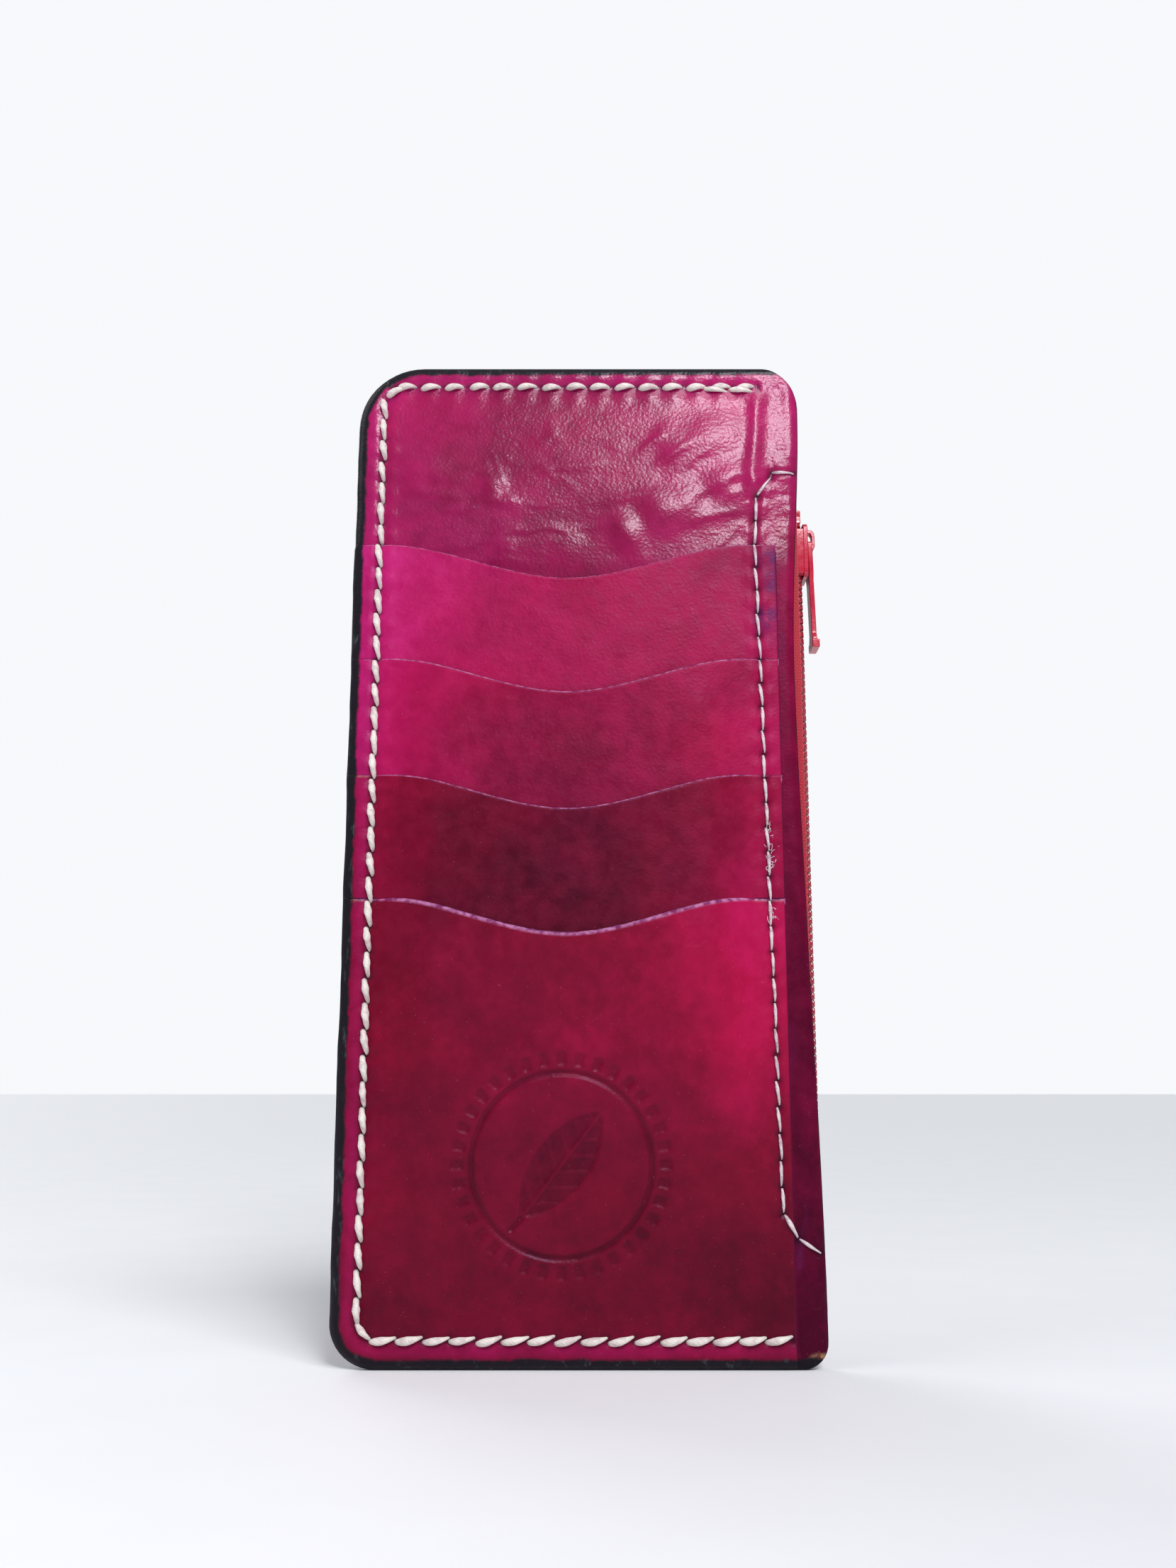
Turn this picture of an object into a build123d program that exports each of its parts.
from build123d import *
import os

# Slim upright pouch: four card pockets on the front and a zipped compartment behind them.
# Millimetres. +Z runs up the pouch, the pockets face -Y, the zipper is on the +X side.
# The origin is the middle of the bounding box, at the bottom edge.

os.makedirs("parts", exist_ok=True)

# ---------------------------------------------------------------- driving dimensions
# Leather outline
width = 75.0                 # left edge to the lower right corner
height = 162.0               # bottom edge to top edge
panel_t = 1.3                # front and back panels
pocket_t = 0.9               # card pocket sheets
corner_bottom_left = 7.0
corner_bottom_right = 4.0
corner_top_right = 7.5
corner_top_left = 11.0
edge_hollow = 2.2            # how far the zipped edge draws in, at its most
hollow_middle_z = 66.4       # where it has drawn in by hollow_middle_share of that
hollow_deep_z = 110.2        # where it is deepest
hollow_middle_share = 0.6
hollow_top_share = 0.2       # what is left of it at the top corner

# Card pockets
mouth_z = [129.6, 110.0, 90.6, 70.8]   # side ends of the mouths, top pocket first
mouth_dip = 5.8              # how far a mouth dips at its middle
mouth_half_width = 30.0      # half the width of the scallop
slot_depth = 65.6            # a card 85.6 tall stands 20 proud of its mouth
drape_margin = 0.9           # between the seams and the foot of the front pocket's bulge
pocket_edge_inset = 4.9      # pocket sheets stop short of the zipped edge
butt_gap = 0.15              # between one pocket's side arm and the next pocket
sheet_slip = 0.1             # slack between stacked sheets

# Seams
seam_inset = 4.4             # left and bottom rows, from the edge
top_seam_inset = 3.9
corner_gap = 2.0             # a row starts this far past the seam line of the row it meets
edge_slant = 9.0             # slant of an edge stitch, in degrees
top_row_end_inset = 7.2      # end of the top row, from the right limit
bottom_row_end_inset = 0.6   # end of the bottom row, from the pockets' zipped side
zip_seam_inset_top = 8.4     # zip seam, from the right limit, at its upper end
zip_seam_inset_low = 6.5     # and at its lower end
zip_seam_low_z = 22.5
zip_turn_lean = 0.6          # above the pockets the zip seam leans out by this
zip_turn_rise = 8.6          # over this height
zip_corner_run = 2.3         # then it cuts the corner
zip_corner_rise = 3.3
zip_over_start = 3.2         # and turns out over the edge, from the column's upper end
zip_over_reach = 3.8
zip_over_rise = 13.0
zip_under_start = 0.8        # low turn over the edge, from the pockets' zipped side
zip_under_drop = 3.6
zip_under_reach = 3.4
zip_under_fall = 2.2
stitch_clear = 0.4           # between the runs of the zip seam
stitch_pitch = 4.0
stitch_length = 3.1
thread_width = 1.1
thread_height = 0.5
fine_thread_width = 0.6      # zip seam and pocket base seams
fine_thread_height = 0.35
base_seam_inset = 1.5        # base seam, from the bottom and sides of a pocket's stem

# Zip compartment
flange = 6.5                 # width of the back panel's sewn margin
strip_margin = 0.5           # the back panel is parallel to the front this far past the tape

# Zipper, 3 mm nylon coil class
tape_t = 0.45
tape_reach = 10.0            # how far a tape runs in under the leather
tape_end_clear = 0.2         # between the tapes' ends and the slope of the back panel
coil_t = 1.4
coil_w = 1.5
coil_slit = 0.9              # between the two coils, for the slider's post
coil_core_d = 0.6
tape_corner = 0.5
clip_corner = 0.35           # corners of the coils and stops
coil_low = 27.5
coil_high = 134.9
coil_overhang = -0.05        # coil's outer side, from the leather's right limit
stop_length = 2.4

# Slider and pull
slider_length = 9.2
slider_width = 6.9
slider_tail_width = 5.9
slider_shoulder = 4.1        # height of the shoulder above the slider's lower end
slider_corner = 0.5
slider_low = 125.3           # lower end of the slider when the pouch is closed
plate_t = 0.8
slider_wall = 0.8
slider_clear = 0.15
slider_side_clear = 0.25
post_width = 0.6
post_length = 3.0
bridge_width = 1.4
bridge_length = 3.9
bridge_top_inset = 0.2       # bridge, from the upper end of the slider
bridge_bar = 0.55
bridge_corner = 0.4
bridge_low_slope = 0.3       # how much the bridge narrows at its lower and upper ends
bridge_high_slope = 0.8
bridge_window_slope = 0.5
pull_t = 0.8
pull_length = 18.2
pull_width = 4.2
pull_tail_width = 3.0
pull_eye_width = 2.0
pull_eye_length = 3.5
pull_shoulder = 1.6          # full width below the eye, and at the lower end
pull_head_taper = 1.6
pull_foot_taper = 1.0
pull_clear = 0.1

# ---------------------------------------------------------------- worked-out places
sheet_lift = pocket_t + sheet_slip
pocket_count = len(mouth_z)
stack_t = (pocket_count - 1) * sheet_lift + pocket_t
tape_clear = tape_t + slider_side_clear
zip_gap = slider_width + 2 * tape_clear
tape_end_low = flange + zip_gap + tape_end_clear
tape_end_high = height - tape_end_low
plate_out = coil_overhang + slider_clear + plate_t
hinge_out = plate_out + pull_clear + pull_t / 2
bridge_out = hinge_out + pull_t / 2 + pull_clear + bridge_bar
overall_width = width + bridge_out
overall_depth = stack_t + 2 * panel_t + zip_gap + fine_thread_height

left_x = -overall_width / 2
right_x = left_x + width
front_y = -overall_depth / 2
face_y = front_y + stack_t           # front of the front panel
inner_y = face_y + panel_t           # inside of the front panel
back_inner_y = inner_y + zip_gap     # inside of the back panel beside the zipper
chain_y = inner_y + zip_gap / 2

pocket_right_x = right_x - pocket_edge_inset
seam_x = left_x + seam_inset
zip_seam_top_x = right_x - zip_seam_inset_top
zip_seam_low_x = right_x - zip_seam_inset_low
pocket_mid_x = (seam_x + zip_seam_top_x) / 2
stem_half = (zip_seam_top_x - seam_x) / 2 - (pocket_count - 1) * sheet_lift - drape_margin
foot_z = seam_inset + thread_width
base_z = [z - slot_depth for z in mouth_z[:-1]] + [foot_z]

coil_out_x = right_x + coil_overhang
coil_in_x = coil_out_x - coil_t
tape_in_x = coil_in_x - tape_t
tape_end_x = coil_in_x - tape_reach
slider_high = slider_low + slider_length


# ---------------------------------------------------------------- shared shapes
def facing(y):
    """Plane that faces the front, at depth y; its sketches read x to the right, z up."""
    return Plane.XZ.offset(-y)


def panel_face():
    """Outline of the front and back panels, in the open sketch."""
    top_x = right_x - hollow_top_share * edge_hollow
    with BuildLine() as outline:
        Line((left_x + corner_bottom_left, 0), (right_x - corner_bottom_right, 0))
        CenterArc((right_x - corner_bottom_right, corner_bottom_right), corner_bottom_right, 270, 90)
        Spline(
            (right_x, corner_bottom_right),
            (right_x - hollow_middle_share * edge_hollow, hollow_middle_z),
            (right_x - edge_hollow, hollow_deep_z),
            (top_x, height - corner_top_right),
            tangents=[(0, 1), (0, 1)],
        )
        CenterArc((top_x - corner_top_right, height - corner_top_right), corner_top_right, 0, 90)
        Line((top_x - corner_top_right, height), (left_x + corner_top_left, height))
        CenterArc((left_x + corner_top_left, height - corner_top_left), corner_top_left, 90, 90)
        Line((left_x, height - corner_top_left), (left_x, corner_bottom_left))
        CenterArc((left_x + corner_bottom_left, corner_bottom_left), corner_bottom_left, 180, 90)
    make_face(outline.edges())


def mouth_line(z):
    """Scalloped top edge of a pocket, in the open line, from left to right."""
    start = pocket_mid_x - mouth_half_width
    end = pocket_mid_x + mouth_half_width
    Line((left_x, z), (start, z))
    Spline((start, z), (pocket_mid_x, z - mouth_dip), (end, z), tangents=[(1, 0), (1, 0), (1, 0)])
    Line((end, z), (pocket_right_x, z))


def pocket_face(index):
    """T-shaped outline of one pocket; the last one is a full sheet down to the bottom edge."""
    with BuildLine() as outline:
        mouth_line(mouth_z[index])
        if index == pocket_count - 1:
            Line((pocket_right_x, mouth_z[index]), (pocket_right_x, 0))
            Line((pocket_right_x, 0), (left_x + corner_bottom_left, 0))
            CenterArc((left_x + corner_bottom_left, corner_bottom_left), corner_bottom_left, 180, 90)
            Line((left_x, corner_bottom_left), (left_x, mouth_z[index]))
        else:
            arm_z = mouth_z[index + 1] + butt_gap
            Polyline(
                (pocket_right_x, mouth_z[index]),
                (pocket_right_x, arm_z),
                (pocket_mid_x + stem_half, arm_z),
                (pocket_mid_x + stem_half, base_z[index]),
                (pocket_mid_x - stem_half, base_z[index]),
                (pocket_mid_x - stem_half, arm_z),
                (left_x, arm_z),
                (left_x, mouth_z[index]),
            )
    make_face(outline.edges())


def bulge(plan, side):
    """Solid whose plan (x, y) and side view (y, z) are the two outlines given."""
    with BuildPart() as solid:
        with BuildSketch(Plane.XY):
            Polygon(*plan, align=None)
        extrude(amount=height)
        with BuildSketch(Plane.YZ):
            Polygon(*side, align=None)
        extrude(amount=width, both=True, mode=Mode.INTERSECT)
    return solid.part


def drape(index, lift):
    """Space behind a pocket sheet, filled by the stems of the pockets above it."""
    top = index * sheet_lift
    back = face_y - lift
    half = stem_half + top
    plan = [
        (pocket_mid_x - half, back),
        (pocket_mid_x - stem_half, back - top),
        (pocket_mid_x + stem_half, back - top),
        (pocket_mid_x + half, back),
    ]
    side = [(back - step * sheet_lift, base_z[index - step]) for step in range(index + 1)]
    side += [(back - top, height), (back, height)]
    return bulge(plan, side)


def compartment(lift):
    """Space between the panels: a wedge that opens towards the zipper."""
    far_x = right_x + panel_t
    low = inner_y + lift
    deep = back_inner_y + lift
    strip_x = tape_end_x - strip_margin
    plan = [(left_x + flange, low), (far_x, low), (far_x, deep), (strip_x, deep)]
    side = [
        (low, flange),
        (deep, flange + zip_gap),
        (deep, height - flange - zip_gap),
        (low, height - flange),
    ]
    return bulge(plan, side)


def spaced(start, end):
    """Middles of the stitches that fill a straight run, and the angle of the run."""
    run = Vector(*end) - Vector(*start)
    count = round(run.length / stitch_pitch)
    middles = [Vector(*start) + run * ((i + 0.5) / count) for i in range(count)]
    return [(m.X, m.Y) for m in middles], Vector(1, 0).get_signed_angle(run, Vector(0, 0, 1))


def stitch_row(start, end, slant, thread):
    """Slot-shaped stitches along a straight run, in the open sketch."""
    middles, angle = spaced(start, end)
    with Locations(*middles):
        SlotOverall(stitch_length, thread, rotation=angle + slant)


# ---------------------------------------------------------------- leather
with BuildPart() as front_panel:
    with BuildSketch(facing(inner_y)):
        panel_face()
    extrude(amount=panel_t)
front_panel.part.label = "front_panel"
export_step(front_panel.part, "parts/front_panel.step")

wedge_outer = compartment(panel_t)
wedge_inner = compartment(0)
with BuildPart() as back_panel:
    with BuildSketch(facing(inner_y + panel_t)):
        panel_face()
    extrude(amount=panel_t)
    add(wedge_outer)
    with BuildSketch(facing(back_inner_y + panel_t)):
        panel_face()
    extrude(amount=zip_gap + panel_t, mode=Mode.INTERSECT)
    add(wedge_inner, mode=Mode.SUBTRACT)
back_panel.part.label = "back_panel"
export_step(back_panel.part, "parts/back_panel.step")


def base_row(index):
    """Stitches of one pocket's base seam, in the open sketch."""
    seam_z = base_z[index] + base_seam_inset
    reach = stem_half - base_seam_inset
    stitch_row((pocket_mid_x - reach, seam_z), (pocket_mid_x + reach, seam_z), 0, fine_thread_width)


for index in range(pocket_count):
    name = f"card_pocket_{index + 1}"
    if index > 0:
        behind = drape(index, 0)
        before = drape(index, pocket_t)
    with BuildPart() as pocket:
        with BuildSketch(facing(face_y)):
            pocket_face(index)
        extrude(amount=pocket_t)
        if index > 0:
            add(before)
            with BuildSketch(facing(face_y)):
                pocket_face(index)
            extrude(amount=stack_t, mode=Mode.INTERSECT)
            add(behind, mode=Mode.SUBTRACT)
        if index < pocket_count - 1:
            with BuildSketch(facing(face_y - pocket_t + fine_thread_height)):
                base_row(index)
            extrude(amount=fine_thread_height + sheet_slip, mode=Mode.SUBTRACT)
    pocket.part.label = name
    export_step(pocket.part, f"parts/{name}.step")

# Base seams: sunk in a groove in the pocket's stem, and lying on the front panel's inside.
for index in range(pocket_count - 1):
    name = f"pocket_{index + 1}_base_thread"
    with BuildPart() as base_thread:
        with BuildSketch(facing(face_y - pocket_t + fine_thread_height)):
            base_row(index)
        extrude(amount=fine_thread_height)
        with BuildSketch(facing(inner_y + fine_thread_height)):
            base_row(index)
        extrude(amount=fine_thread_height)
    base_thread.part.label = name
    export_step(base_thread.part, f"parts/{name}.step")

# ---------------------------------------------------------------- edge seam
seam_low_z = seam_inset
seam_high_z = height - top_seam_inset
top_row_end = right_x - top_row_end_inset
bottom_row_end = pocket_right_x - bottom_row_end_inset


def left_column(low, high):
    stitch_row((seam_x, low), (seam_x, high), edge_slant, thread_width)


def top_row():
    start = seam_x + corner_gap
    stitch_row((start, seam_high_z), (top_row_end, seam_high_z), edge_slant, thread_width)


def bottom_row():
    stitch_row((seam_x + corner_gap, seam_low_z), (bottom_row_end, seam_low_z), edge_slant, thread_width)


column_low = seam_low_z + corner_gap
column_high = seam_high_z - 2 * corner_gap
with BuildPart() as edge_thread:
    with BuildSketch(facing(face_y - pocket_t)):
        left_column(column_low, mouth_z[0])
        bottom_row()
    extrude(amount=thread_height)
    with BuildSketch(facing(face_y)):
        left_column(mouth_z[0], column_high)
        top_row()
    extrude(amount=thread_height)
    with BuildSketch(facing(inner_y + panel_t + thread_height)):
        left_column(column_low, mouth_z[0])
        left_column(mouth_z[0], column_high)
        top_row()
        bottom_row()
    extrude(amount=thread_height)
edge_thread.part.label = "edge_thread"
export_step(edge_thread.part, "parts/edge_thread.step")

# ---------------------------------------------------------------- zip seams
# The seam runs beside the pocket ends and turns out over the zipped edge at both ends.
zip_seam_top_z = mouth_z[0]


def zip_seam_column():
    stitch_row((zip_seam_top_x, zip_seam_top_z), (zip_seam_low_x, zip_seam_low_z), 0, fine_thread_width)


def zip_seam_top():
    turn_x = zip_seam_top_x + zip_turn_lean
    turn_z = zip_seam_top_z + zip_turn_rise
    low = (zip_seam_top_x, zip_seam_top_z + stitch_clear)
    stitch_row(low, (turn_x, turn_z), 0, fine_thread_width)
    corner = (turn_x + zip_corner_run, turn_z + stitch_clear + zip_corner_rise)
    stitch_row((turn_x, turn_z + stitch_clear), corner, 0, fine_thread_width)


def zip_seam_edges():
    over = (zip_seam_top_x + zip_over_start, zip_seam_top_z + zip_over_rise)
    stitch_row(over, (over[0] + zip_over_reach, over[1]), 0, fine_thread_width)
    under = (pocket_right_x + zip_under_start, zip_seam_low_z - zip_under_drop)
    stitch_row(under, (under[0] + zip_under_reach, under[1] - zip_under_fall), 0, fine_thread_width)


with BuildPart() as zip_seam_thread_front:
    with BuildSketch(facing(face_y - pocket_t)):
        zip_seam_column()
    extrude(amount=fine_thread_height)
    with BuildSketch(facing(face_y)):
        zip_seam_top()
        zip_seam_edges()
    extrude(amount=fine_thread_height)
    with BuildSketch(facing(inner_y + tape_t + fine_thread_height)):
        zip_seam_column()
        zip_seam_top()
    extrude(amount=fine_thread_height)
zip_seam_thread_front.part.label = "zip_seam_thread_front"
export_step(zip_seam_thread_front.part, "parts/zip_seam_thread_front.step")

with BuildPart() as zip_seam_thread_back:
    with BuildSketch(facing(back_inner_y + panel_t + fine_thread_height)):
        zip_seam_column()
        zip_seam_top()
        zip_seam_edges()
    extrude(amount=fine_thread_height)
    with BuildSketch(facing(back_inner_y - tape_t)):
        zip_seam_column()
        zip_seam_top()
    extrude(amount=fine_thread_height)
zip_seam_thread_back.part.label = "zip_seam_thread_back"
export_step(zip_seam_thread_back.part, "parts/zip_seam_thread_back.step")

# ---------------------------------------------------------------- zipper
# side is -1 for the front half of the zipper and +1 for the back half.
for side, half in ((-1, "front"), (1, "back")):
    leather_y = chain_y + side * zip_gap / 2
    near_y = chain_y + side * coil_slit / 2

    # Tape: from under the coil out to the panel, then back along the panel's inside.
    with BuildPart() as tape:
        with BuildSketch(Plane.XY.offset(tape_end_low)):
            with BuildLine():
                Polyline(
                    (coil_in_x, near_y),
                    (coil_in_x, leather_y),
                    (tape_end_x, leather_y),
                    (tape_end_x, leather_y - side * tape_t),
                    (tape_in_x, leather_y - side * tape_t),
                    (tape_in_x, near_y),
                    close=True,
                )
            make_face()
        extrude(amount=tape_end_high - tape_end_low)
        bend = tape.edges().filter_by(Axis.Z).sort_by_distance((coil_in_x, leather_y, tape_end_low))[0]
        fillet(bend, radius=tape_corner)
    tape.part.label = f"zipper_tape_{half}"
    export_step(tape.part, f"parts/zipper_tape_{half}.step")

    # Coil: a bar the size of the coil's envelope, with its filler cord inside.
    coil_mid = (coil_in_x + coil_t / 2, near_y + side * coil_w / 2)
    with BuildPart() as coil:
        with BuildSketch(Plane.XY.offset(coil_low)):
            with Locations(coil_mid):
                RectangleRounded(coil_t, coil_w, clip_corner)
                Circle(coil_core_d / 2, mode=Mode.SUBTRACT)
        extrude(amount=coil_high - coil_low)
    coil.part.label = f"zipper_coil_{half}"
    export_step(coil.part, f"parts/zipper_coil_{half}.step")

    with BuildPart() as coil_cord:
        with BuildSketch(Plane.XY.offset(coil_low)):
            with Locations(coil_mid):
                Circle(coil_core_d / 2)
        extrude(amount=coil_high - coil_low)
    coil_cord.part.label = f"coil_cord_{half}"
    export_step(coil_cord.part, f"parts/coil_cord_{half}.step")

    # Top stop: a crimped clip on each tape, just above the closed slider.
    with BuildPart() as top_stop:
        with BuildSketch(Plane.XY.offset(coil_high)):
            with Locations(coil_mid):
                RectangleRounded(coil_t, coil_w, clip_corner)
        extrude(amount=stop_length)
    top_stop.part.label = f"zipper_top_stop_{half}"
    export_step(top_stop.part, f"parts/zipper_top_stop_{half}.step")

# Bottom stop: one clip across both tapes.
with BuildPart() as bottom_stop:
    with BuildSketch(Plane.XY.offset(coil_low - stop_length)):
        with Locations((coil_in_x + coil_t / 2, chain_y)):
            RectangleRounded(coil_t, coil_slit + 2 * coil_w, clip_corner)
    extrude(amount=stop_length)
bottom_stop.part.label = "zipper_bottom_stop"
export_step(bottom_stop.part, "parts/zipper_bottom_stop.step")

# ---------------------------------------------------------------- slider
plate_out_x = right_x + plate_out
plate_in_x = plate_out_x - plate_t
floor_out_x = tape_in_x - slider_clear
floor_in_x = floor_out_x - plate_t
guide_in_x = coil_in_x + slider_clear
hinge_x = right_x + hinge_out
bridge_high = slider_high - bridge_top_inset
bridge_low = bridge_high - bridge_length
hinge_z = bridge_low + bridge_bar + pull_t / 2 + pull_clear


def shield_face(inset):
    """Slider plate outline seen from the side, in the open sketch: wide above, narrow below."""
    half_top = slider_width / 2 - inset
    half_low = slider_tail_width / 2 - inset
    shoulder_z = slider_low + slider_shoulder
    with BuildLine() as outline:
        Polyline(
            (chain_y - half_top, slider_high),
            (chain_y - half_top, shoulder_z),
            (chain_y - half_low, slider_low),
            (chain_y + half_low, slider_low),
            (chain_y + half_top, shoulder_z),
            (chain_y + half_top, slider_high),
            close=True,
        )
    make_face(outline.edges())


with BuildPart() as slider_body:
    # Inner and outer plates
    with BuildSketch(Plane.YZ.offset(floor_in_x)):
        shield_face(0)
    extrude(amount=plate_t)
    with BuildSketch(Plane.YZ.offset(plate_in_x)):
        shield_face(0)
    extrude(amount=plate_t)
    upright = slider_body.edges().filter_by(Axis.X)
    fillet(upright, radius=slider_corner)
    # Guides along both sides of the outer plate, open at the two ends
    with BuildSketch(Plane.YZ.offset(guide_in_x)):
        shield_face(0)
        shield_face(slider_wall)
        with Locations((chain_y, (slider_low + slider_high) / 2)):
            Rectangle(slider_tail_width - 2 * slider_wall, slider_length, mode=Mode.SUBTRACT)
    extrude(amount=plate_in_x - guide_in_x)
    # Post that parts the coils
    with BuildSketch(Plane.YZ.offset(floor_out_x)):
        with Locations((chain_y, slider_high - post_length / 2)):
            Rectangle(post_width, post_length)
    extrude(amount=plate_in_x - floor_out_x)
    # Bridge that carries the pull
    with BuildSketch(Plane.XZ.offset(-chain_y)):
        with BuildLine():
            top_x = right_x + bridge_out
            FilletPolyline(
                (plate_out_x, bridge_low),
                (top_x, bridge_low + bridge_low_slope),
                (top_x, bridge_high - bridge_high_slope),
                (plate_out_x, bridge_high),
                radius=bridge_corner,
                close=False,
            )
            Line((plate_out_x, bridge_high), (plate_out_x, bridge_low))
        make_face()
        with BuildLine():
            window_x = top_x - bridge_bar
            Polyline(
                (plate_out_x, bridge_low + bridge_bar),
                (window_x, bridge_low + bridge_bar),
                (window_x, bridge_high - bridge_high_slope - bridge_window_slope),
                (plate_out_x, bridge_high - bridge_high_slope),
                close=True,
            )
        make_face(mode=Mode.SUBTRACT)
    extrude(amount=bridge_width / 2, both=True)
slider_body.part.label = "slider_body"
export_step(slider_body.part, "parts/slider_body.step")

# ---------------------------------------------------------------- pull
# A flat tab hung by its cross bar under the bridge.
pull_low = hinge_z - pull_length
neck_z = hinge_z - pull_eye_length - pull_shoulder
pull_foot_z = pull_low + pull_shoulder
with BuildPart() as pull_tab:
    with BuildSketch(Plane.YZ.offset(hinge_x)):
        with BuildLine():
            Polyline(
                (chain_y - pull_width / 2, hinge_z),
                (chain_y - pull_width / 2, neck_z),
                (chain_y - pull_tail_width / 2, neck_z - pull_head_taper),
                (chain_y - pull_tail_width / 2, pull_foot_z + pull_foot_taper),
                (chain_y - pull_width / 2, pull_foot_z),
                (chain_y - pull_width / 2, pull_low),
                (chain_y + pull_width / 2, pull_low),
                (chain_y + pull_width / 2, pull_foot_z),
                (chain_y + pull_tail_width / 2, pull_foot_z + pull_foot_taper),
                (chain_y + pull_tail_width / 2, neck_z - pull_head_taper),
                (chain_y + pull_width / 2, neck_z),
                (chain_y + pull_width / 2, hinge_z),
                close=True,
            )
        make_face()
        with Locations((chain_y, hinge_z - pull_eye_length / 2)):
            Rectangle(pull_eye_width, pull_eye_length, mode=Mode.SUBTRACT)
    extrude(amount=pull_t / 2, both=True)
    with BuildSketch(Plane.XZ.offset(-chain_y)):
        with Locations((hinge_x, hinge_z)):
            Circle(pull_t / 2)
    extrude(amount=pull_width / 2, both=True)
pull_tab.part.label = "pull_tab"
export_step(pull_tab.part, "parts/pull_tab.step")
